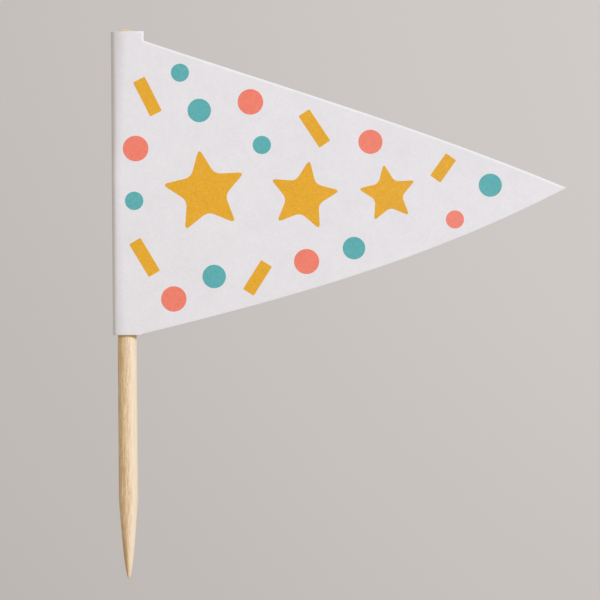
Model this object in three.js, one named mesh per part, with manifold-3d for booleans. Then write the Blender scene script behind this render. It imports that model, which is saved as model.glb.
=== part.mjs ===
// Pennant cupcake topper: a card flag folded round the upper half of a round wooden pick.
// Millimetres, +Z up the pick, the printed face towards -Y and the flag out along +X.
// The origin is the point of the pick, on its axis.
import * as THREE from 'three';
import { mergeVertices } from 'three/addons/utils/BufferGeometryUtils.js';
import Module from 'manifold-3d';

const wasm = await Module();
wasm.setup();
const { Manifold, Mesh: SolidMesh } = wasm;

// The pick: a 65 mm round stick with a low dome at its top and a full, blunt point below.
const PICK_LENGTH = 65;
const PICK_DIAMETER = 2.25;
const POINT_LENGTH = 9.4;
const POINT_FULLNESS = 1.04; // 1 is a parabola, 2 is a straight cone
const TOP_DOME = 0.42; // height of the dome, which spans the whole end
const PICK_PROUD = 0.25; // the pick's end stands this far above the sleeve

// The card: one sheet, its front half flat, creased at the left, wrapped round the pick and closed
// behind it.
const CARD_THICKNESS = 0.3;
const SLEEVE_HEIGHT = 35.9;
const SLEEVE_CLEARANCE = 0.05; // between the pick and the card before and behind it
const SLEEVE_SLACK = 0.2; // extra room in the fold, beside the pick
const FOLD_CREASE = 0.55; // radius at the fold's front corner, to the middle of the card
const CLOSING_ANGLE = 62; // degrees by which the back half turns in towards the front half
const REVERSE_BEND = 2; // radius of the bend that lays the halves together, in card thicknesses

// The flag beyond the sleeve band: a long pennant with both edges bowed outwards.
const BAND_MARGIN = 1.075; // card between the pick's side and the upper step in the outline
const LOWER_CORNER_IN = 0.4; // the lower edge leaves the band this much nearer to the pick
const FLAG_LENGTH = 49.87;
const UPPER_STEP = 1.11; // the band stands above the flag's upper root by this
const LOWER_STEP = 0.1; // and below its lower root by this
const APEX_AT = 0.474; // height of the apex in the sleeve's height, from its lower end
const UPPER_BOW_ROOT = 0.27; // how far the edge's handles stand out from a straight edge
const UPPER_BOW_TIP = 1.14;
const LOWER_BOW_ROOT = 1.68;
const LOWER_BOW_TIP = 2.91;
const ROLLED_EDGE = 0.11; // the cutting die rolls the front face's edge over by this

// The two adhesives that hold the halves together and the flag to the pick.
const FILM_THICKNESS = 0.06;
const FILM_MARGIN = 0.7; // the film stops this far short of the flag's edges
const FILM_START = 0.15; // past the end of the reverse bend
const BEAD_MARGIN = 1.5; // the bead stops this far inside both ends of the sleeve

const ROUND_SEGMENTS = 64;
const ARC_DIVISIONS = 10; // an arc of the fold gets twice as many facets
const EDGE_DIVISIONS = 28; // facets along one bowed edge of the flag

const pickRadius = PICK_DIAMETER / 2;
const halfCard = CARD_THICKNESS / 2;
const wrapRadius = pickRadius + SLEEVE_CLEARANCE + halfCard; // to the middle of the card
const closing = THREE.MathUtils.degToRad(CLOSING_ANGLE);
const bendRadius = REVERSE_BEND * CARD_THICKNESS;
const frontPlyY = -wrapRadius; // middle of the front half
const backPlyY = frontPlyY + CARD_THICKNESS + FILM_THICKNESS; // middle of the back half

// Where the straight run behind the pick ends, and where both halves lie flat together.
const fallToBend = wrapRadius * Math.cos(closing) - backPlyY - bendRadius * (1 - Math.cos(closing));
const straightRun = fallToBend / Math.sin(closing);
const joinX = wrapRadius * Math.sin(closing) + straightRun * Math.cos(closing) + bendRadius * Math.sin(closing);
const bendCentre = new THREE.Vector2(joinX, backPlyY + bendRadius);

// The crease's centre, at the left of the pick and before it.
const crease = new THREE.Vector2(FOLD_CREASE - SLEEVE_SLACK - wrapRadius, FOLD_CREASE + frontPlyY);

const sleeveTop = PICK_LENGTH - PICK_PROUD;
const sleeveBottom = sleeveTop - SLEEVE_HEIGHT;
const stepX = pickRadius + BAND_MARGIN;
const apex = new THREE.Vector2(stepX + FLAG_LENGTH, sleeveBottom + APEX_AT * SLEEVE_HEIGHT);
const upperRoot = new THREE.Vector2(stepX, sleeveTop - UPPER_STEP);
const lowerRoot = new THREE.Vector2(stepX - LOWER_CORNER_IN, sleeveBottom + LOWER_STEP);

// Both bowed edges run from the sleeve to the apex.
function bowedEdge(root, handleAtRoot, handleAtTip) {
  const a = root.clone().lerp(apex, 1 / 3);
  const b = root.clone().lerp(apex, 2 / 3);
  a.y += handleAtRoot;
  b.y += handleAtTip;
  return new THREE.CubicBezierCurve(root, a, b, apex);
}

const upperEdge = bowedEdge(upperRoot, UPPER_BOW_ROOT, UPPER_BOW_TIP);
const lowerEdge = bowedEdge(lowerRoot, -LOWER_BOW_ROOT, -LOWER_BOW_TIP);

function toSolid(geometry) {
  const bare = geometry.clone();
  bare.deleteAttribute('normal');
  bare.deleteAttribute('uv');
  const merged = mergeVertices(bare, 1e-5);
  return new Manifold(new SolidMesh({
    numProp: 3,
    vertProperties: new Float32Array(merged.attributes.position.array),
    triVerts: new Uint32Array(merged.index.array),
  }));
}

function toMesh(solid, name, material) {
  const data = solid.getMesh();
  const geometry = new THREE.BufferGeometry();
  geometry.setAttribute('position', new THREE.BufferAttribute(new Float32Array(data.vertProperties), 3));
  geometry.setIndex(new THREE.BufferAttribute(new Uint32Array(data.triVerts), 1));
  geometry.computeVertexNormals();
  const mesh = new THREE.Mesh(geometry, material);
  mesh.name = name;
  return mesh;
}

// The pick is a turned profile: the point grows as a power of the height, then a plain shank.
function pickGeometry() {
  const steps = 16;
  const profile = [new THREE.Vector2(0, 0)];
  for (let i = 1; i <= steps; i += 1) {
    const u = i / steps;
    profile.push(new THREE.Vector2(pickRadius * u ** POINT_FULLNESS, POINT_LENGTH * u * u));
  }
  const domeSteps = 6;
  for (let i = 0; i < domeSteps; i += 1) {
    const turn = (i / domeSteps) * Math.PI / 2;
    profile.push(new THREE.Vector2(
      pickRadius * Math.cos(turn),
      PICK_LENGTH - TOP_DOME * (1 - Math.sin(turn)),
    ));
  }
  profile.push(new THREE.Vector2(0, PICK_LENGTH));
  const turned = new THREE.LatheGeometry(profile, ROUND_SEGMENTS);
  turned.rotateX(Math.PI / 2);
  return turned;
}

// The sheet seen from above: the front half, the fold, the run behind the pick, the reverse bend
// and the back half, which both run on past the apex and are cut by the outline.
function sheetPlan() {
  const far = apex.x + 2;
  const outer = wrapRadius + halfCard;
  const inner = wrapRadius - halfCard;
  const plan = new THREE.Shape();
  plan.moveTo(far, frontPlyY - halfCard);
  plan.lineTo(crease.x, frontPlyY - halfCard);
  plan.absarc(crease.x, crease.y, FOLD_CREASE + halfCard, -Math.PI / 2, -Math.PI, true);
  plan.lineTo(-SLEEVE_SLACK - outer, 0);
  plan.absarc(-SLEEVE_SLACK, 0, outer, -Math.PI, -1.5 * Math.PI, true);
  plan.lineTo(0, outer);
  plan.absarc(0, 0, outer, Math.PI / 2, Math.PI / 2 - closing, true);
  plan.absarc(bendCentre.x, bendCentre.y, bendRadius - halfCard, -Math.PI / 2 - closing, -Math.PI / 2, false);
  plan.lineTo(far, backPlyY + halfCard);
  plan.lineTo(far, backPlyY - halfCard);
  plan.absarc(bendCentre.x, bendCentre.y, bendRadius + halfCard, -Math.PI / 2, -Math.PI / 2 - closing, true);
  plan.absarc(0, 0, inner, Math.PI / 2 - closing, Math.PI / 2, false);
  plan.lineTo(-SLEEVE_SLACK, inner);
  plan.absarc(-SLEEVE_SLACK, 0, inner, -1.5 * Math.PI, -Math.PI, false);
  plan.lineTo(-SLEEVE_SLACK - inner, crease.y);
  plan.absarc(crease.x, crease.y, FOLD_CREASE - halfCard, -Math.PI, -Math.PI / 2, false);
  plan.lineTo(far, frontPlyY + halfCard);
  plan.closePath();
  return plan;
}

// The die-cut outline, seen from the front, with the steps where the band meets the flag.
function cutOutline() {
  const pastFold = -(SLEEVE_SLACK + wrapRadius + CARD_THICKNESS + 2);
  const outline = new THREE.Shape();
  outline.moveTo(pastFold, sleeveBottom);
  outline.lineTo(lowerRoot.x, sleeveBottom);
  for (const p of lowerEdge.getPoints(EDGE_DIVISIONS)) outline.lineTo(p.x, p.y);
  for (const p of upperEdge.getPoints(EDGE_DIVISIONS).reverse().slice(1)) outline.lineTo(p.x, p.y);
  outline.lineTo(stepX, sleeveTop);
  outline.lineTo(pastFold, sleeveTop);
  outline.closePath();
  return outline;
}

// A prism through both halves. Its front end is drawn in, which rolls the front face's edges.
function cutterGeometry() {
  const front = frontPlyY - halfCard;
  const back = wrapRadius + CARD_THICKNESS + 2;
  const cutter = new THREE.ExtrudeGeometry(cutOutline(), {
    depth: back - front - 2 * ROLLED_EDGE,
    bevelEnabled: true,
    bevelThickness: ROLLED_EDGE,
    bevelSize: ROLLED_EDGE,
    bevelOffset: -ROLLED_EDGE,
    bevelSegments: 3,
    curveSegments: 1,
  });
  cutter.rotateX(Math.PI / 2);
  cutter.translate(0, back - ROLLED_EDGE, 0);
  return cutter;
}

function flagSolid() {
  const sheet = new THREE.ExtrudeGeometry(sheetPlan(), {
    depth: SLEEVE_HEIGHT + 2,
    bevelEnabled: false,
    curveSegments: ARC_DIVISIONS,
  });
  sheet.translate(0, 0, sleeveBottom - 1);
  return toSolid(sheet).intersect(toSolid(cutterGeometry()));
}

// Height between the bowed edges at a distance along the flag, by stepping along each edge.
function edgeHeight(edge, x) {
  let low = 0;
  let high = 1;
  for (let i = 0; i < 40; i += 1) {
    const middle = (low + high) / 2;
    if (edge.getPoint(middle).x < x) low = middle;
    else high = middle;
  }
  return edge.getPoint(low).y;
}

// A film of adhesive between the halves, which stops short of the edges all round.
function filmSolid() {
  const start = joinX + FILM_START;
  let end = start;
  const step = (apex.x - start) / 400;
  while (edgeHeight(upperEdge, end + step) - edgeHeight(lowerEdge, end + step) > 3 * FILM_MARGIN) end += step;
  const outline = new THREE.Shape();
  const count = 20;
  for (let i = 0; i <= count; i += 1) {
    const x = start + (end - start) * (i / count);
    const z = edgeHeight(lowerEdge, x) + FILM_MARGIN;
    if (i === 0) outline.moveTo(x, z);
    else outline.lineTo(x, z);
  }
  for (let i = count; i >= 0; i -= 1) {
    const x = start + (end - start) * (i / count);
    outline.lineTo(x, edgeHeight(upperEdge, x) - FILM_MARGIN);
  }
  outline.closePath();
  const film = new THREE.ExtrudeGeometry(outline, { depth: FILM_THICKNESS, bevelEnabled: false });
  film.rotateX(Math.PI / 2);
  film.translate(0, backPlyY - halfCard, 0);
  return toSolid(film);
}

// A bead of glue in the wedge where the back half leaves the pick for the front half.
function beadSolid(pick, card) {
  const start = new THREE.Vector2(
    (wrapRadius - halfCard) * Math.sin(closing) + 0.15 * Math.cos(closing),
    (wrapRadius - halfCard) * Math.cos(closing) - 0.15 * Math.sin(closing),
  );
  const plan = new THREE.Shape();
  plan.moveTo(0.5 * pickRadius, frontPlyY + halfCard);
  plan.lineTo(joinX, frontPlyY + halfCard);
  plan.lineTo(joinX, backPlyY - halfCard);
  plan.absarc(bendCentre.x, bendCentre.y, bendRadius + halfCard, -Math.PI / 2, -Math.PI / 2 - closing, true);
  plan.lineTo(start.x, start.y);
  plan.lineTo(0.4 * pickRadius, 0);
  plan.closePath();
  const bead = new THREE.ExtrudeGeometry(plan, {
    depth: SLEEVE_HEIGHT - 2 * BEAD_MARGIN,
    bevelEnabled: false,
    curveSegments: ARC_DIVISIONS,
  });
  bead.translate(0, 0, sleeveBottom + BEAD_MARGIN);
  return toSolid(bead).subtract(pick).subtract(card);
}

const woodMaterial = new THREE.MeshStandardMaterial({ color: 0xe3c79f, roughness: 0.75 });
const cardMaterial = new THREE.MeshStandardMaterial({ color: 0xf1eff0, roughness: 0.9 });
const filmMaterial = new THREE.MeshStandardMaterial({ color: 0xe9e4d6, roughness: 0.5 });
const beadMaterial = new THREE.MeshStandardMaterial({ color: 0xf3efe2, roughness: 0.35 });

const pickSolid = toSolid(pickGeometry());
const cardSolid = flagSolid();

const topper = new THREE.Group();
topper.name = 'pennant_cupcake_topper';
topper.add(toMesh(pickSolid, 'pick', woodMaterial));
topper.add(toMesh(cardSolid, 'flag_card', cardMaterial));
topper.add(toMesh(filmSolid(), 'ply_adhesive', filmMaterial));
topper.add(toMesh(beadSolid(pickSolid, cardSolid), 'pick_glue', beadMaterial));

export default topper;
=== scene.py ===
"""Pennant cupcake topper: the looks of its card, print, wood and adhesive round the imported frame."""

import math
from itertools import accumulate

import bpy
from mathutils import Matrix, Vector, noise
from mathutils.geometry import delaunay_2d_cdt


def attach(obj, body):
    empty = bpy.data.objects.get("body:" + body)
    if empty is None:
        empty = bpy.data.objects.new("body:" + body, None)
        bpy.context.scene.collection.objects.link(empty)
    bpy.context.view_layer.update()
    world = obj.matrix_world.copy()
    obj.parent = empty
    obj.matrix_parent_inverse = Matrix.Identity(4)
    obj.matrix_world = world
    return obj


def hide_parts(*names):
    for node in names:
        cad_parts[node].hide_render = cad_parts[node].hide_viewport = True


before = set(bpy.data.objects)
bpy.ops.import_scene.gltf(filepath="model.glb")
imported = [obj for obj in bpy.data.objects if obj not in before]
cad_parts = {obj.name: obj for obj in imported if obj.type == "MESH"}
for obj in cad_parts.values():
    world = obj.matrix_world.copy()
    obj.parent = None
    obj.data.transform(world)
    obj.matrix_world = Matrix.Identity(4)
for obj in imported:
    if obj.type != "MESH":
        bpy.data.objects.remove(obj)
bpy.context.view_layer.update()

MM = 0.001

# The pick, in millimetres as all sizes below.
PICK_LENGTH = 65.0
PICK_RADIUS = 1.125
POINT_LENGTH = 9.4
POINT_FULLNESS = 1.04
TOP_DOME = 0.42

# The card and its fold round the pick, which closes behind it at an angle.
CARD = 0.3
CLEARANCE = 0.05
SLACK = 0.2
CLOSING = math.radians(62)
BEND = 2 * CARD
FILM = 0.06

# The outline: the sleeve round the pick, the steps from it to the flag, and the flag's two bowed edges.
SLEEVE_TOP = 64.75
SLEEVE_BOTTOM = 28.85
UPPER_STEP_X = 2.2
UPPER_STEP_DROP = 1.11
LOWER_STEP_X = 1.8
LOWER_STEP_RISE = 0.1
APEX_X = 52.07
APEX_SHARE = 0.474
APEX = (APEX_X, SLEEVE_BOTTOM + APEX_SHARE * (SLEEVE_TOP - SLEEVE_BOTTOM))
UPPER_ROOT = SLEEVE_TOP - UPPER_STEP_DROP
LOWER_ROOT = SLEEVE_BOTTOM + LOWER_STEP_RISE
UPPER_BOW = (0.27, 1.14)
LOWER_BOW = (-1.68, -2.91)

# Depths of the card's middle line in front of the pick and behind it, and of the printed face.
HALF = CARD / 2
WRAP = PICK_RADIUS + CLEARANCE + HALF
FRONT_Y = -WRAP
BACK_Y = FRONT_Y + CARD + FILM
FACE_Y = FRONT_Y - HALF

QUARTER = math.pi / 2
TINY = 1e-6


def new_object(name, data):
    obj = bpy.data.objects.new(name, data)
    bpy.context.scene.collection.objects.link(obj)
    return obj


def mesh_object(name, vertices, faces, materials, smooth_angle, face_materials=None):
    """A smooth-shaded object of vertices in millimetres, with edges over smooth_angle kept sharp."""
    mesh = bpy.data.meshes.new(name)
    mesh.from_pydata([Vector(v) * MM for v in vertices], [], faces)
    for material in materials:
        mesh.materials.append(material)
    for index, polygon in enumerate(mesh.polygons):
        polygon.use_smooth = True
        if face_materials:
            polygon.material_index = face_materials[index]
    mesh.update()
    mesh.set_sharp_from_angle(angle=math.radians(smooth_angle))
    return new_object(name, mesh)


# Materials


# Sockets of the mixing node for colours, which share their names with those for numbers.
MIX_A = 6
MIX_B = 7
MIX_RESULT = 2


class Nodes:
    """A material's node tree, with short calls for what the materials here share."""

    def __init__(self, name):
        self.material = bpy.data.materials.new(name)
        self.material.use_nodes = True
        self.tree = self.material.node_tree
        self.shader = self.tree.nodes["Principled BSDF"]
        self.place = self.tree.nodes.new("ShaderNodeTexCoord").outputs["Object"]

    def link(self, source, target):
        self.tree.links.new(source, target)

    def feed(self, value, socket):
        """Join another node's output to a socket, or set it to a colour or a number."""
        if isinstance(value, bpy.types.NodeSocket):
            self.link(value, socket)
        elif isinstance(value, tuple):
            socket.default_value = (*value, 1)
        else:
            socket.default_value = value

    def axes(self):
        """The place along x, y and z, in metres."""
        node = self.tree.nodes.new("ShaderNodeSeparateXYZ")
        self.link(self.place, node.inputs["Vector"])
        return node.outputs["X"], node.outputs["Y"], node.outputs["Z"]

    def noise(self, scale, detail=2.0, roughness=0.5, distortion=0.0, turn=(0, 0, 0)):
        """Noise with so many features to the metre along x, y and z, turned by angles in degrees."""
        mapping = self.tree.nodes.new("ShaderNodeMapping")
        mapping.vector_type = "TEXTURE"
        mapping.inputs["Scale"].default_value = [1 / s for s in scale]
        mapping.inputs["Rotation"].default_value = [math.radians(t) for t in turn]
        self.link(self.place, mapping.inputs["Vector"])
        node = self.tree.nodes.new("ShaderNodeTexNoise")
        node.inputs["Scale"].default_value = 1.0
        node.inputs["Detail"].default_value = detail
        node.inputs["Roughness"].default_value = roughness
        node.inputs["Distortion"].default_value = distortion
        self.link(mapping.outputs["Vector"], node.inputs["Vector"])
        return node.outputs["Fac"]

    def ramp(self, source, stops):
        """A colour for each value of source, by stops of position and colour."""
        node = self.tree.nodes.new("ShaderNodeValToRGB")
        elements = node.color_ramp.elements
        while len(elements) < len(stops):
            elements.new(0.5)
        for element, (position, colour) in zip(elements, stops):
            element.position = position
            element.color = (*colour, 1)
        self.link(source, node.inputs["Fac"])
        return node.outputs["Color"]

    def band(self, source, low, high, start=0.0, end=1.0):
        """start where source is below low, end where it is above high, and a ramp between."""
        node = self.tree.nodes.new("ShaderNodeMapRange")
        self.feed(low, node.inputs["From Min"])
        self.feed(high, node.inputs["From Max"])
        self.feed(start, node.inputs["To Min"])
        self.feed(end, node.inputs["To Max"])
        self.link(source, node.inputs["Value"])
        return node.outputs["Result"]

    def mix(self, factor, a, b):
        node = self.tree.nodes.new("ShaderNodeMix")
        node.data_type = "RGBA"
        self.feed(factor, node.inputs["Factor"])
        self.feed(a, node.inputs[MIX_A])
        self.feed(b, node.inputs[MIX_B])
        return node.outputs[MIX_RESULT]

    def sum(self, *terms):
        """Sum of sources, each given with its weight."""
        total = None
        for source, weight in terms:
            node = self.tree.nodes.new("ShaderNodeMath")
            node.operation = "MULTIPLY_ADD"
            self.feed(source, node.inputs[0])
            node.inputs[1].default_value = weight
            self.feed(0.0 if total is None else total, node.inputs[2])
            total = node.outputs[0]
        return total

    def finish(self, colour, roughness, relief, depth, specular):
        """Colour and roughness from nodes, and a relief of so many millimetres."""
        self.link(colour, self.shader.inputs["Base Color"])
        self.link(roughness, self.shader.inputs["Roughness"])
        self.shader.inputs["Specular IOR Level"].default_value = specular
        bump = self.tree.nodes.new("ShaderNodeBump")
        bump.inputs["Distance"].default_value = depth * MM
        self.link(relief, bump.inputs["Height"])
        self.link(bump.outputs["Normal"], self.shader.inputs["Normal"])
        return self.material


def shade(colour, factor):
    return tuple(min(1.0, c * factor) for c in colour)


def towards(colour, other, share):
    return tuple(c + (o - c) * share for c, o in zip(colour, other))


CARD_COLOUR = (0.862, 0.855, 0.862)
PALE_GREY = (0.8, 0.8, 0.8)
# The golden-brown band right under the sleeve: painted shade, tinted by the warm light that bounces and
# shines through the card, warmer on the right.
SLEEVE_SHADE_TINT = (0.80, 0.50, 0.15)
SLEEVE_SHADE_TINT_RIGHT = (1.0, 0.60, 0.15)

# The card's fibres: how many there are to the metre across and along them, and their two directions.
FIBRES = {"scale": (5200, 5200, 2400), "detail": 3, "roughness": 0.6, "distortion": 0.5}
UPRIGHT_TURN = (0, 28, 0)
LEVEL_TURN = (0, -62, 0)

# Distances from the pick between which the ink thins out towards the apex.
INK_THINS = (20, 42)


class Paper(Nodes):
    """Nodes with the fibres that the card and the ink on it have in common."""

    def __init__(self, name):
        super().__init__(name)
        self.cloud = self.noise((330, 330, 330), detail=5, roughness=0.72)
        self.upright = self.noise(**FIBRES, turn=UPRIGHT_TURN)
        self.level = self.noise(**FIBRES, turn=LEVEL_TURN)
        self.speck = self.noise((5200, 5200, 5200), detail=1)

    def relief(self):
        return self.sum((self.upright, 0.5), (self.level, 0.5), (self.cloud, 0.6))


def paper_material(name, colour, depth):
    """Uncoated card: broad cloud, darker and paler fibres, a few dark specks."""
    nodes = Paper(name)
    base = nodes.ramp(nodes.cloud, ((0.32, shade(colour, 0.950)), (0.68, shade(colour, 1.028))))
    base = nodes.mix(nodes.band(nodes.upright, 0.48, 0.68), base, shade(colour, 0.967))
    base = nodes.mix(nodes.band(nodes.level, 0.52, 0.7), base, shade(colour, 1.030))
    base = nodes.mix(nodes.band(nodes.speck, 0.74, 0.8), base, shade(colour, 0.86))
    rough = nodes.band(nodes.upright, 0.3, 0.7, 0.82, 0.96)
    return nodes.finish(base, rough, nodes.relief(), depth, specular=0.22)


def ink_material(name, colour, bare, depth):
    """Flat ink soaked into the card, whose fibres mottle it and which shows through it a little.

    Towards the apex the ink leaves a share of the card bare.
    """
    nodes = Paper(name)
    along, _, _ = nodes.axes()
    thins_from, thins_to = (x * MM for x in INK_THINS)
    base = nodes.ramp(nodes.cloud, ((0.3, shade(colour, 0.94)), (0.7, shade(colour, 1.04))))
    base = nodes.mix(nodes.band(nodes.upright, 0.47, 0.66), base, shade(colour, 0.9))
    base = nodes.mix(nodes.band(nodes.level, 0.5, 0.7), base, shade(colour, 1.09))
    base = nodes.mix(nodes.band(nodes.speck, 0.35, 0.65, 0.0, 0.035), base, CARD_COLOUR)
    base = nodes.mix(nodes.band(nodes.speck, 0.75, 0.82), base, towards(colour, PALE_GREY, 0.3))
    base = nodes.mix(nodes.band(along, thins_from, thins_to, 0.0, bare), base, CARD_COLOUR)
    rough = nodes.band(nodes.upright, 0.3, 0.7, 0.7, 0.86)
    return nodes.finish(base, rough, nodes.relief(), depth, specular=0.28)


# Depths below the sleeve between which the wood turns paler, and between which its painted shade under
# the sleeve sets in.
FRESH_WOOD = (2.8, 1.2)
SLEEVE_SHADE_BAND = (0.4, 0.15)
# How far left of its axis the point's painted shade reaches, near its end and further up.
POINT_SHADE_EDGE = (0.15, 0.35)


def wood_material(name, pale, golden, warm, dark, depth):
    """Straight-grained wood streaked along the pick, warmer on its left and paler on its right: painted
    shade on the side away from the key light and painted sheen on the side it lights.

    Its point is darker on its left flank: painted shade. Right under the sleeve it turns golden brown:
    painted shade, tinted by the warm light that bounces and shines through the card.
    """
    nodes = Nodes(name)
    across, _, height = nodes.axes()
    point = POINT_LENGTH * MM
    radius = PICK_RADIUS * MM
    fresh_from, fresh_to = ((SLEEVE_BOTTOM - below) * MM for below in FRESH_WOOD)
    shade_band_from, shade_band_to = ((SLEEVE_BOTTOM - below) * MM for below in SLEEVE_SHADE_BAND)
    edge_low, edge_high = (-left * MM for left in POINT_SHADE_EDGE)
    dark_line, pale_line, deep = shade(dark, 0.92), shade(pale, 1.14), shade(dark, 0.8)

    broad = nodes.noise((900, 900, 28), detail=3, roughness=0.55, distortion=0.2)
    streak = nodes.noise((10400, 10400, 110), detail=2, roughness=0.6)
    dash = nodes.noise((8900, 8900, 420), detail=3, roughness=0.6, distortion=0.1)
    hair = nodes.noise((11000, 11000, 2400), detail=2)

    # The strengths of the lines: strong on the warm, shaded side and weak on the pale one with its
    # painted sheen, and calmer on the point and below the sleeve.
    fresh = nodes.band(height, fresh_from, fresh_to, 0.0, 0.2)
    calm = nodes.band(height, point / 2, point, 0.35, 1.0)
    strong = nodes.sum((calm, 0.95), (fresh, -1.8))
    weak = nodes.sum((calm, 0.24))
    long_lines = nodes.band(across, -radius / 2, radius / 8, strong, weak)
    short_lines = nodes.band(across, 0.0, radius / 2, strong, weak)
    hairs = nodes.sum((short_lines, 0.5))

    # Across the pick the colour runs from warm on the left to pale on the right: painted shade where the
    # key light doesn't reach and painted sheen where it does.
    side = nodes.sum((across, 450), (broad, 1.0), (fresh, 1.0))
    base = nodes.ramp(side, ((0.2, warm), (0.55, golden), (0.85, pale)))
    # The point's left flank is darker: painted shade where the key light doesn't reach.
    point_shade = nodes.band(height, point, point / 3, 0.0, 0.9)
    flank = nodes.band(height, point / 8, point / 2, edge_low, edge_high)
    base = nodes.mix(nodes.band(across, 0.0, flank, 0.0, point_shade), base, deep)
    base = nodes.mix(nodes.band(streak, 0.49, 0.62, 0.0, long_lines), base, dark_line)
    base = nodes.mix(nodes.band(streak, 0.46, 0.34, 0.0, long_lines), base, pale_line)
    base = nodes.mix(nodes.band(dash, 0.5, 0.62, 0.0, short_lines), base, dark_line)
    base = nodes.mix(nodes.band(dash, 0.47, 0.35, 0.0, short_lines), base, pale_line)
    base = nodes.mix(nodes.band(hair, 0.52, 0.68, 0.0, hairs), base, deep)
    # Right under the sleeve the wood is tinted golden brown: painted shade with painted bounce light,
    # warmer towards the right.
    glue = nodes.mix(nodes.band(across, 0.0, radius), SLEEVE_SHADE_TINT, SLEEVE_SHADE_TINT_RIGHT)
    base = nodes.mix(nodes.band(height, shade_band_from, shade_band_to, 0.0, 0.75), base, glue)
    relief = nodes.sum((streak, 0.6), (dash, 0.5), (hair, 0.35))
    rough = nodes.band(dash, 0.3, 0.7, 0.5, 0.78)
    return nodes.finish(base, rough, relief, depth, specular=0.4)


def end_grain_material(name, warm, dark, depth):
    """The pick's cut top, with rings and open pores."""
    nodes = Nodes(name)
    pores = nodes.noise((16000, 16000, 16000), detail=2)
    rings = nodes.noise((350, 3800, 900), detail=3, distortion=0.6, turn=(0, 0, 25))
    base = nodes.ramp(rings, ((0.38, dark), (0.58, warm)))
    base = nodes.mix(nodes.band(pores, 0.54, 0.66), base, shade(dark, 0.75))
    rough = nodes.band(pores, 0.3, 0.7, 0.75, 0.92)
    return nodes.finish(base, rough, pores, depth, specular=0.25)


def glue_material(name, colour, roughness, depth):
    """Dried milky glue with small bubbles."""
    nodes = Nodes(name)
    cloud = nodes.noise((900, 900, 500), detail=3)
    bubbles = nodes.noise((5200, 5200, 5200), detail=1)
    base = nodes.ramp(cloud, ((0.3, shade(colour, 0.9)), (0.7, colour)))
    base = nodes.mix(nodes.band(bubbles, 0.66, 0.72), base, shade(colour, 0.8))
    rough = nodes.band(bubbles, 0.3, 0.7, roughness, roughness + 0.2)
    relief = nodes.sum((cloud, 0.5), (bubbles, 0.5))
    return nodes.finish(base, rough, relief, depth, specular=0.5)


card_face = paper_material("card_paper", CARD_COLOUR, depth=0.012)
# The cut edge and its rounding are a little paler than the face: a small painted highlight along the
# rolled edges.
card_edge = paper_material("card_cut_edge", shade(CARD_COLOUR, 1.01), depth=0.03)
ink_teal = ink_material("ink_teal", (0.109, 0.466, 0.471), bare=0.004, depth=0.012)
ink_coral = ink_material("ink_coral", (0.966, 0.235, 0.154), bare=0.055, depth=0.012)
ink_mustard = ink_material("ink_mustard", (0.862, 0.441, 0.014), bare=0.02, depth=0.012)
wood = wood_material(
    "pick_wood",
    pale=(0.905, 0.772, 0.566),
    golden=(0.915, 0.726, 0.468),
    warm=(0.920, 0.662, 0.366),
    dark=(0.780, 0.495, 0.235),
    depth=0.02,
)
wood_end = end_grain_material("pick_end_grain", (0.92, 0.82, 0.52), (0.78, 0.63, 0.36), depth=0.025)
film_glue = glue_material("film_adhesive", (0.78, 0.74, 0.64), roughness=0.45, depth=0.02)
bead_glue = glue_material("bead_glue", (0.86, 0.82, 0.72), roughness=0.3, depth=0.02)


# The card's middle line, seen from above


# The sheet's lengths are those at CREASE_MIDDLE_Z, where the crease is tightest. It has opened fully at
# CREASE_OPENING above and below: RUN_IN_TURN, in degrees, goes from its middle to its ends. CREASE_RADIUS
# goes from its lower part to its looser upper part.
CREASE_START_X = 0.5
CREASE_MIDDLE_Z = 45.0
CREASE_OPENING = 19.0
RUN_IN_RADIUS = 3.0
RUN_IN_TURN = (10.5, 27.0)
CREASE_RADIUS = (0.62, 0.84)
LOOSER_BETWEEN = (47.0, 56.0)


def between(pair, share):
    return pair[0] + (pair[1] - pair[0]) * share


def eased(value, low, high):
    """0 below low, 1 above high, and a smooth climb between."""
    share = min(1.0, max(0.0, (value - low) / (high - low)))
    return share * share * (3 - 2 * share)


def sheet_pieces(z):
    """Lengths and turns of the sheet's pieces from the apex in front to the apex behind.

    The front runs into its crease, which opens towards its ends and is looser in its upper third.
    """
    opening = ((z - CREASE_MIDDLE_Z) / CREASE_OPENING) ** 2
    first = math.radians(between(RUN_IN_TURN, opening))
    crease = between(CREASE_RADIUS, eased(z, *LOOSER_BETWEEN))
    bends = ((RUN_IN_RADIUS, 0.0, first), (crease, first, QUARTER))
    width = sum(r * (math.sin(b) - math.sin(a)) for r, a, b in bends)
    depth = sum(r * (math.cos(a) - math.cos(b)) for r, a, b in bends)
    crease_x = width - SLACK - WRAP
    closing_width = WRAP * math.sin(CLOSING)
    fall = WRAP * math.cos(CLOSING) - BACK_Y - BEND * (1 - math.cos(CLOSING))
    join_x = closing_width + fall / math.tan(CLOSING) + BEND * math.sin(CLOSING)
    return [
        (APEX[0] - CREASE_START_X, 0.0),
        (CREASE_START_X - crease_x, 0.0),
        *((r * (b - a), a - b) for r, a, b in bends),
        (-FRONT_Y - depth, 0.0),
        (WRAP * QUARTER, -QUARTER),
        (SLACK, 0.0),
        (WRAP * CLOSING, -CLOSING),
        (fall / math.sin(CLOSING), 0.0),
        (BEND * CLOSING, CLOSING),
        (APEX[0] - join_x, 0.0),
    ]


# Grid steps along each piece, and the piece with which the sheet turns in behind the pick.
PIECE_STEPS = (30, 2, 8, 12, 4, 16, 1, 12, 6, 10, 30)
CLOSING_PIECE = 7
PIECE_ENDS = list(accumulate(length for length, _ in sheet_pieces(CREASE_MIDDLE_Z)))
PIECE_STARTS = [0.0] + PIECE_ENDS[:-1]
SHEET_LENGTH = PIECE_ENDS[-1]
HALVINGS = 40


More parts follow.
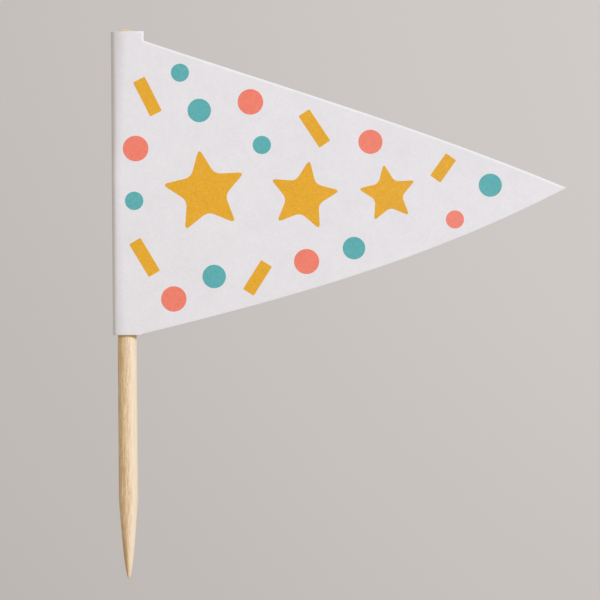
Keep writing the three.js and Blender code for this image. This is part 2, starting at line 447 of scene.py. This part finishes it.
def sheet_at(s, z):
    """The point of the middle line at a length along it, and the way out of the card there."""
    here = Vector((APEX[0], FRONT_Y))
    heading = math.pi
    for (length, turn), start, end in zip(sheet_pieces(z), PIECE_STARTS, PIECE_ENDS):
        share = min(1.0, (s - start) / (end - start))
        bend = turn * share / 2
        chord = length * share * (math.sin(bend) / bend if bend else 1.0)
        here += Vector((math.cos(heading + bend), math.sin(heading + bend))) * chord
        heading += 2 * bend
        if s <= end:
            break
    return here, Vector((-math.sin(heading), math.cos(heading)))


def front_length(x):
    """Length along the sheet at which the front half passes x."""
    return APEX[0] - x


def back_length(x):
    """Length along the sheet at which the back half passes x."""
    low, high = PIECE_STARTS[CLOSING_PIECE], SHEET_LENGTH
    for _ in range(HALVINGS):
        middle = (low + high) / 2
        if sheet_at(middle, CREASE_MIDDLE_Z)[0].x < x:
            low = middle
        else:
            high = middle
    return (low + high) / 2


# The flat blank that the card is folded from


def bowed(x, root_x, root_z, bow):
    """Height of one of the flag's bowed edges at x."""
    t = min(1.0, (x - root_x) / (APEX[0] - root_x))
    straight = root_z + (APEX[1] - root_z) * t
    return straight + 3 * t * (1 - t) ** 2 * bow[0] + 3 * t * t * (1 - t) * bow[1]


def lower_edge(x):
    return bowed(x, LOWER_STEP_X, LOWER_ROOT, LOWER_BOW)


def upper_edge(x):
    return bowed(x, UPPER_STEP_X, UPPER_ROOT, UPPER_BOW)


def spread(start, end, steps):
    return [start + (end - start) * i / steps for i in range(steps + 1)]


# Columns and grid points keep this far from the outline's own points.
POINT_ROOM = 0.35


def fold_columns(start, end):
    """Lengths from start to end along the sheet, close together where it bends."""
    columns = [start]
    for low, high, steps in zip(PIECE_STARTS, PIECE_ENDS, PIECE_STEPS):
        inner = spread(low, high, steps)[:-1]
        columns += [s for s in inner if start + POINT_ROOM < s < end - POINT_ROOM]
    return columns + [end]


EDGE_STEPS = 64


def flag_part(start, end, edge):
    """Points of one of the flag's bowed edges from start to end along the sheet."""
    return [(s, edge(sheet_at(s, CREASE_MIDDLE_Z)[0].x)) for s in spread(start, end, EDGE_STEPS)]


def blank_outline():
    """The blank's outline, anticlockwise, as lengths along the sheet and heights."""
    lower_start, lower_end = front_length(LOWER_STEP_X), back_length(LOWER_STEP_X)
    upper_start, upper_end = front_length(UPPER_STEP_X), back_length(UPPER_STEP_X)
    outline = flag_part(0.0, lower_start, lower_edge)
    outline += [(s, SLEEVE_BOTTOM) for s in fold_columns(lower_start, lower_end)]
    outline += flag_part(lower_end, SHEET_LENGTH, lower_edge)
    outline += flag_part(SHEET_LENGTH, upper_end, upper_edge)[1:]
    outline += [(s, SLEEVE_TOP) for s in fold_columns(upper_start, upper_end)[::-1]]
    outline += flag_part(upper_start, 0.0, upper_edge)[:-1]
    return outline


# Width and depth of the rounding that the die leaves along an edge, whose curve is a superellipse.
ROLLED = (0.26, 0.105)
CRISP = (0.045, 0.045)
ROUNDING_POWER = 1.4
ROUNDING_STEPS = 6
# Levels of the cut edge's wall, and how far its fibres lie back and stand out.
WALL_LEVELS = (-0.09, -0.045, 0.0)
FIBRE_MEAN = 0.006
FIBRE_REACH = 0.012
FIBRES_PER_MM = 4
# The flat faces begin this far inside the outline.
RIM = 0.3


def rounding_of(s, z):
    """The die rolls the front's upper edge and step over, and leaves the others crisp."""
    front = s < front_length(UPPER_STEP_X) + TINY
    return ROLLED if front and z > APEX[1] + TINY else CRISP


def inward_ways(outline):
    """At each point the way into the blank that keeps an even distance from both sides."""
    ways = []
    count = len(outline)
    for i, point in enumerate(outline):
        here = Vector(point)
        sides = []
        for other, sign in ((outline[i - 1], 1), (outline[(i + 1) % count], -1)):
            way = (here - Vector(other)).normalized() * sign
            sides.append(Vector((-way.y, way.x)))
        both = sides[0] + sides[1]
        ways.append(both / (1 + sides[0].dot(sides[1])))
    return ways


def inside(point, outline):
    x, z = point
    hit = False
    for (ax, az), (bx, bz) in zip(outline, outline[1:] + outline[:1]):
        if (az > z) != (bz > z) and x < ax + (bx - ax) * (z - az) / (bz - az):
            hit = not hit
    return hit


def clear_of(point, outline, gap):
    return all((point[0] - x) ** 2 + (point[1] - z) ** 2 > gap * gap for x, z in outline)


# Height of the grid's rows, and the triangulation's setting that keeps the triangles inside an outline.
GRID_HEIGHT = 1.6
INNER_TRIANGLES = 1


def face_triangles(rim):
    """Triangles over the blank inside the rim, on a grid of columns and rows."""
    points = list(rim)
    rows = spread(SLEEVE_BOTTOM, SLEEVE_TOP, round((SLEEVE_TOP - SLEEVE_BOTTOM) / GRID_HEIGHT))
    for s in fold_columns(0.0, SHEET_LENGTH):
        for z in rows:
            if inside((s, z), rim) and clear_of((s, z), rim, POINT_ROOM):
                points.append((s, z))
    vectors = [Vector(p) for p in points]
    whole = [list(range(len(rim)))]
    result = delaunay_2d_cdt(vectors, [], whole, INNER_TRIANGLES, TINY, True)
    _, _, triangles, sources, _, owners = result
    kept = [triangle for triangle, owner in zip(triangles, owners) if owner]
    return points, [[sources[v][0] for v in triangle] for triangle in kept]


def build_card():
    """The folded sheet: two faces, and between them the cut edge with its walls and roundings."""
    outline = blank_outline()
    ways = inward_ways(outline)
    rolls = [rounding_of(s, z) for s, z in outline]
    count = len(outline)
    vertices, faces, kinds = [], [], []

    def add(s, z, depth):
        point, outward = sheet_at(s, z)
        at = point + outward * depth
        vertices.append((at.x, at.y, z))
        return len(vertices) - 1

    def ring(insets, depths):
        return [
            add(outline[i][0] + ways[i].x * insets[i], outline[i][1] + ways[i].y * insets[i], depths[i])
            for i in range(count)
        ]

    def join(a, b, kind):
        for i in range(count):
            j = (i + 1) % count
            faces.append([a[j], a[i], b[i], b[j]])
            kinds.append(kind)

    rim = [(outline[i][0] + ways[i].x * RIM, outline[i][1] + ways[i].y * RIM) for i in range(count)]
    points, triangles = face_triangles(rim)

    def fibres(i, level):
        s, z = outline[i]
        return FIBRE_REACH * noise.noise(Vector((s * FIBRES_PER_MM, z * FIBRES_PER_MM, level)))

    def rounding(sign, sizes):
        """Rings from the edge's wall over the rounded edge to one face."""
        rings = []
        for turn in spread(0.0, QUARTER, ROUNDING_STEPS):
            across = 1 - max(0.0, math.cos(turn)) ** (2 / ROUNDING_POWER)
            below = 1 - math.sin(turn) ** (2 / ROUNDING_POWER)
            insets = [width * across for width, _ in sizes]
            rings.append(ring(insets, [sign * (HALF - drop * below) for _, drop in sizes]))
        return rings

    outer_face = [add(s, z, HALF) for s, z in points]
    inner_face = [add(s, z, -HALF) for s, z in points]
    walls = [
        ring([max(0.0, FIBRE_MEAN + fibres(i, level)) for i in range(count)], [level] * count)
        for level in WALL_LEVELS
    ]
    edge = rounding(-1, [CRISP] * count)[::-1] + walls + rounding(1, rolls)
    face_kind, edge_kind = 0, 1
    for a, b in zip(edge, edge[1:]):
        join(a, b, edge_kind)
    join(inner_face[:count], edge[0], face_kind)
    join(edge[-1], outer_face[:count], face_kind)
    for triangle in triangles:
        faces.append([outer_face[v] for v in triangle[::-1]])
        faces.append([inner_face[v] for v in triangle])
        kinds += [face_kind, face_kind]
    materials = [card_face, card_edge]
    return mesh_object("card", vertices, faces, materials, smooth_angle=45, face_materials=kinds)


card = build_card()
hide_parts("flag_card")
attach(card, "root")


# The print on the front


# How far the ink stands out of the card and reaches into it, the share of its height at its rim, and the
# width of the slope behind the rim.
INK_ABOVE = 0.010
INK_BELOW = 0.010
INK_RIM = 0.4
INK_SLOPE = 0.03
BAR_CORNER = 0.14
STAR_WAIST = 0.46
STAR_CORNER = 0.16


def ink_patch(vertices, faces, centre, outline):
    """A thin closed skin of ink on the card's front, its edge sloping down to the card."""
    count = len(outline)
    first = len(vertices)
    for inset, height in ((0.0, -INK_BELOW), (0.0, INK_RIM * INK_ABOVE), (INK_SLOPE, INK_ABOVE)):
        for px, pz in outline:
            share = 1 - inset / math.hypot(px, pz)
            vertices.append((centre[0] + px * share, FACE_Y - height, centre[1] + pz * share))
    for height in (INK_ABOVE, -INK_BELOW):
        vertices.append((centre[0], FACE_Y - height, centre[1]))
    top, bottom = first + 3 * count, first + 3 * count + 1
    for k in range(count):
        n = (k + 1) % count
        for level in (0, 1):
            a = first + level * count
            faces.append([a + k, a + n, a + count + n, a + count + k])
        faces.append([first + 2 * count + k, first + 2 * count + n, top])
        faces.append([first + n, first + k, bottom])


def disc(diameter, steps=64):
    turns = [2 * math.pi * k / steps for k in range(steps)]
    return [(diameter / 2 * math.cos(turn), diameter / 2 * math.sin(turn)) for turn in turns]


def turned(points, degrees):
    c, s = math.cos(math.radians(degrees)), math.sin(math.radians(degrees))
    return [(x * c - y * s, x * s + y * c) for x, y in points]


def rounded(corners, radius, steps=5):
    """The polygon with each corner turned into a small curve."""
    result = []
    count = len(corners)
    for k in range(count):
        before, here, after = (Vector(corners[(k + j) % count]) for j in (-1, 0, 1))
        a = here + (before - here).normalized() * radius
        b = here + (after - here).normalized() * radius
        for t in spread(0.0, 1.0, steps):
            result.append(tuple(a * (1 - t) ** 2 + here * 2 * t * (1 - t) + b * t * t))
    return result


def bar(length, width):
    x, y = length / 2, width / 2
    return rounded([(-x, -y), (x, -y), (x, y), (-x, y)], BAR_CORNER)


def star(radius):
    corners = []
    for k in range(10):
        reach = radius if k % 2 == 0 else radius * STAR_WAIST
        turn = QUARTER + k * math.pi / 5
        corners.append((reach * math.cos(turn), reach * math.sin(turn)))
    return rounded(corners, STAR_CORNER * radius, steps=8)


def print_object(name, marks, material):
    """All marks of one kind as one piece, which rides with the card."""
    vertices, faces = [], []
    for centre, outline in marks:
        ink_patch(vertices, faces, centre, outline)
    obj = mesh_object(name, vertices, faces, [material], smooth_angle=5)
    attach(obj, "root")


# Dots as place and diameter, bars as place, length, width and turn in degrees.
TEAL_DOTS = [
    (6.50, 59.81, 2.14),
    (8.75, 55.33, 2.77),
    (16.11, 51.20, 2.16),
    (43.06, 46.25, 2.73),
    (0.98, 44.71, 2.18),
    (26.91, 38.94, 2.66),
    (10.37, 35.71, 2.77),
]
CORAL_DOTS = [
    (14.80, 56.30, 3.02),
    (28.94, 51.48, 2.86),
    (1.20, 50.89, 3.03),
    (38.86, 42.24, 2.14),
    (21.30, 37.40, 2.97),
    (5.58, 33.09, 3.00),
]
MUSTARD_BARS = [
    (2.64, 57.02, 4.51, 1.54, -63.5),
    (22.33, 53.11, 4.47, 1.53, -56.8),
    (37.51, 48.34, 3.23, 1.48, -125.8),
    (2.17, 38.02, 4.52, 1.54, -59.4),
    (15.48, 35.51, 4.06, 1.50, -122.6),
]
# Stars as place, radius and turn in degrees.
MUSTARD_STARS = [
    (9.38, 45.73, 5.2, 8),
    (20.98, 45.13, 4.4, -10),
    (30.98, 45.33, 3.6, 8),
]

print_object("print_teal_dots", [((x, z), disc(d)) for x, z, d in TEAL_DOTS], ink_teal)
print_object("print_coral_dots", [((x, z), disc(d)) for x, z, d in CORAL_DOTS], ink_coral)
print_object(
    "print_mustard_bars",
    [((x, z), turned(bar(length, width), turn)) for x, z, length, width, turn in MUSTARD_BARS],
    ink_mustard,
)
print_object(
    "print_mustard_stars",
    [((x, z), turned(star(radius), turn)) for x, z, radius, turn in MUSTARD_STARS],
    ink_mustard,
)


# The pick


# How much the bare shank is swollen, and the length over which that fades towards the sleeve.
SWELL = 0.025
SWELL_FADES = 1.0

# Steps along the point, the shank and the dome, and around.
POINT_STEPS = 44
SHANK_STEPS = 160
DOME_STEPS = 10
AROUND = 128

# Broad flats, grooves and fibres: waves over the radius, waves to the millimetre along, place and depth.
CUTS = (
    (1.6, 0.06, (0, 0), 0.006),
    (7, 0.10, (5, 0), 0.007),
    (15, 0.35, (0, 9), 0.005),
)


def bare_radius(z):
    """The shank's radius, which is a little swollen where the sleeve leaves it bare."""
    rise = eased(z, POINT_LENGTH / 2, POINT_LENGTH)
    fall = eased(z, SLEEVE_BOTTOM - SWELL_FADES, SLEEVE_BOTTOM)
    return PICK_RADIUS + SWELL * rise * (1 - fall)


def pick_profile():
    """Heights and radii from the point up, and how far each ring's fibres stand out."""
    rings = []
    for i in range(1, POINT_STEPS):
        z = POINT_LENGTH * (i / POINT_STEPS) ** 2
        rings.append((z, bare_radius(z) * (z / POINT_LENGTH) ** (POINT_FULLNESS / 2), 1.0))
    shank_end = PICK_LENGTH - TOP_DOME
    rings += [(z, bare_radius(z), 1.0) for z in spread(POINT_LENGTH, shank_end, SHANK_STEPS)]
    for turn in spread(0.0, QUARTER, DOME_STEPS)[1:-1]:
        rings.append((shank_end + TOP_DOME * math.sin(turn), PICK_RADIUS * math.cos(turn), 0.5))
    return rings


def cut_depth(c, s, z):
    """Depth of the wood's surface at a height and at the direction of cosine c and sine s."""
    depth = 0.0
    for across, along, (dx, dy), most in CUTS:
        depth += most * (1 - noise.noise(Vector((c * across + dx, s * across + dy, z * along))))
    return depth


def build_pick():
    rings = pick_profile()
    vertices = [(0, 0, 0)]
    for z, radius, stand in rings:
        for k in range(AROUND):
            turn = 2 * math.pi * k / AROUND
            c, s = math.cos(turn), math.sin(turn)
            here = radius - stand * cut_depth(c, s, z) * min(1.0, radius)
            vertices.append((here * c, here * s, z))
    vertices.append((0, 0, PICK_LENGTH))
    faces = [[0, 1 + (k + 1) % AROUND, 1 + k] for k in range(AROUND)]
    for ring in range(len(rings) - 1):
        a = 1 + ring * AROUND
        for k in range(AROUND):
            n = (k + 1) % AROUND
            faces.append([a + k, a + n, a + AROUND + n, a + AROUND + k])
    last = 1 + (len(rings) - 1) * AROUND
    faces += [[last + k, last + (k + 1) % AROUND, len(vertices) - 1] for k in range(AROUND)]
    end_grain = PICK_LENGTH - TOP_DOME / 2
    side_kind, end_kind = 0, 1
    kinds = [end_kind if min(vertices[v][2] for v in face) > end_grain else side_kind for face in faces]
    materials = [wood, wood_end]
    return mesh_object("pick_stick", vertices, faces, materials, smooth_angle=60, face_materials=kinds)


pick = build_pick()
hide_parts("pick")
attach(pick, "root")

# The two adhesives keep their solids.
for node, material in (("ply_adhesive", film_glue), ("pick_glue", bead_glue)):
    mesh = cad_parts[node].data
    mesh.materials.clear()
    mesh.materials.append(material)


# The stage: a seamless pale floor that turns up into a wall all round


BACKDROP_DARK = (0.511, 0.501, 0.507)
BACKDROP_PALE = (0.521, 0.511, 0.517)
BACKDROP_GLOW = (1.0, 0.985, 0.943)
BACKDROP_GLOW_STRENGTH = 0.158

# The floor's height and rings, the wall's radius and rings, and the fillet between them.
FLOOR_Z = -1000.0
FLOOR_RING = 288.0
FLOOR_RINGS = 3
WALL_REACH = 1600.0
WALL_RING = 500.0
WALL_RINGS = 4
FILLET = 700.0
FILLET_STEPS = 16
BACKDROP_AROUND = 96


def backdrop_material():
    nodes = Nodes("backdrop_paint")
    cloud = nodes.noise((2, 2, 2), detail=3)
    base = nodes.ramp(cloud, ((0.3, BACKDROP_DARK), (0.7, BACKDROP_PALE)))
    nodes.feed(BACKDROP_GLOW, nodes.shader.inputs["Emission Color"])
    nodes.feed(BACKDROP_GLOW_STRENGTH, nodes.shader.inputs["Emission Strength"])
    return nodes.finish(base, nodes.band(cloud, 0.0, 1.0, 0.9, 1.0), cloud, 0.1, specular=0.1)


def build_backdrop():
    profile = [(FLOOR_RING * i, FLOOR_Z) for i in range(1, FLOOR_RINGS + 1)]
    for turn in spread(0.0, QUARTER, FILLET_STEPS):
        radius = WALL_REACH - FILLET * (1 - math.sin(turn))
        profile.append((radius, FLOOR_Z + FILLET * (1 - math.cos(turn))))
    wall_foot = FLOOR_Z + FILLET
    profile += [(WALL_REACH, wall_foot + WALL_RING * i) for i in range(1, WALL_RINGS + 1)]
    around = BACKDROP_AROUND
    vertices = [(0, 0, FLOOR_Z)]
    for radius, z in profile:
        for k in range(around):
            turn = 2 * math.pi * k / around
            vertices.append((radius * math.cos(turn), radius * math.sin(turn), z))
    faces = [[0, 1 + k, 1 + (k + 1) % around] for k in range(around)]
    for ring in range(len(profile) - 1):
        a = 1 + ring * around
        for k in range(around):
            n = (k + 1) % around
            faces.append([a + k, a + around + k, a + around + n, a + n])
    obj = mesh_object("backdrop", vertices, faces, [backdrop_material()], smooth_angle=60)
    obj.visible_diffuse = False
    obj.visible_glossy = False
    obj.visible_shadow = False


build_backdrop()


# Light and camera


def area_light(name, place, target, size, power, colour):
    """A round soft light of so many millimetres, facing its target."""
    data = bpy.data.lights.new(name, "AREA")
    data.shape = "DISK"
    data.size = size * MM
    data.energy = power
    data.color = colour
    obj = new_object(name, data)
    obj.visible_camera = False
    obj.location = Vector(place) * MM
    way = Vector(target) - Vector(place)
    obj.rotation_euler = way.to_track_quat("-Z", "Y").to_euler()


AMBIENT = (1.0, 0.915, 0.813)
AMBIENT_STRENGTH = 0.481
MIDDLE = Vector((22.0, 0.0, 40.0))
KEY_WAY = Vector((0.596, -0.710, 0.375)).normalized()
KEY_DISTANCE = 1100
area_light(
    "key_light",
    place=MIDDLE + KEY_WAY * KEY_DISTANCE,
    target=MIDDLE,
    size=360.0,
    power=7.74,
    colour=(0.969, 1.0, 1.150),
)
area_light(
    "back_light",
    place=(22.0, 1000.0, 500.0),
    target=MIDDLE,
    size=600.0,
    power=5.0,
    colour=(1.0, 0.98, 0.95),
)
area_light(
    "wall_light",
    place=(100.0, 939.0, 50.0),
    target=(900.0, 1600.0, 716.0),
    size=300.0,
    power=2.21,
    colour=(1.0, 0.98, 0.96),
)

world = bpy.data.worlds.new("studio")
bpy.context.scene.world = world
world.use_nodes = True
background = world.node_tree.nodes["Background"]
background.inputs["Color"].default_value = (*AMBIENT, 1)
background.inputs["Strength"].default_value = AMBIENT_STRENGTH

view = bpy.context.scene.view_settings
view.view_transform = "Standard"
view.look = "None"

# The camera looks level along y, leaning a little, at a frame of this width and centre on a plane.
FRAME_WIDTH = 70.95
FRAME_CENTRE = (20.483, 32.855)
FRAME_PLANE_Y = -0.8
LENS = 300.0
SENSOR = 36.0
LEAN = math.radians(0.42)

camera_data = bpy.data.cameras.new("camera")
camera_data.lens = LENS
camera_data.sensor_width = SENSOR
camera_data.clip_start = 0.01
camera_data.clip_end = 20.0
camera = new_object("camera", camera_data)
right = Vector((math.cos(LEAN), 0, -math.sin(LEAN)))
up = Vector((math.sin(LEAN), 0, math.cos(LEAN)))
turn = Matrix((right, up, (0, -1, 0))).transposed()
distance = FRAME_WIDTH * LENS / SENSOR
place = Vector((FRAME_CENTRE[0], FRAME_PLANE_Y - distance, FRAME_CENTRE[1])) * MM
camera.matrix_world = Matrix.Translation(place) @ turn.to_4x4()
bpy.context.scene.camera = camera
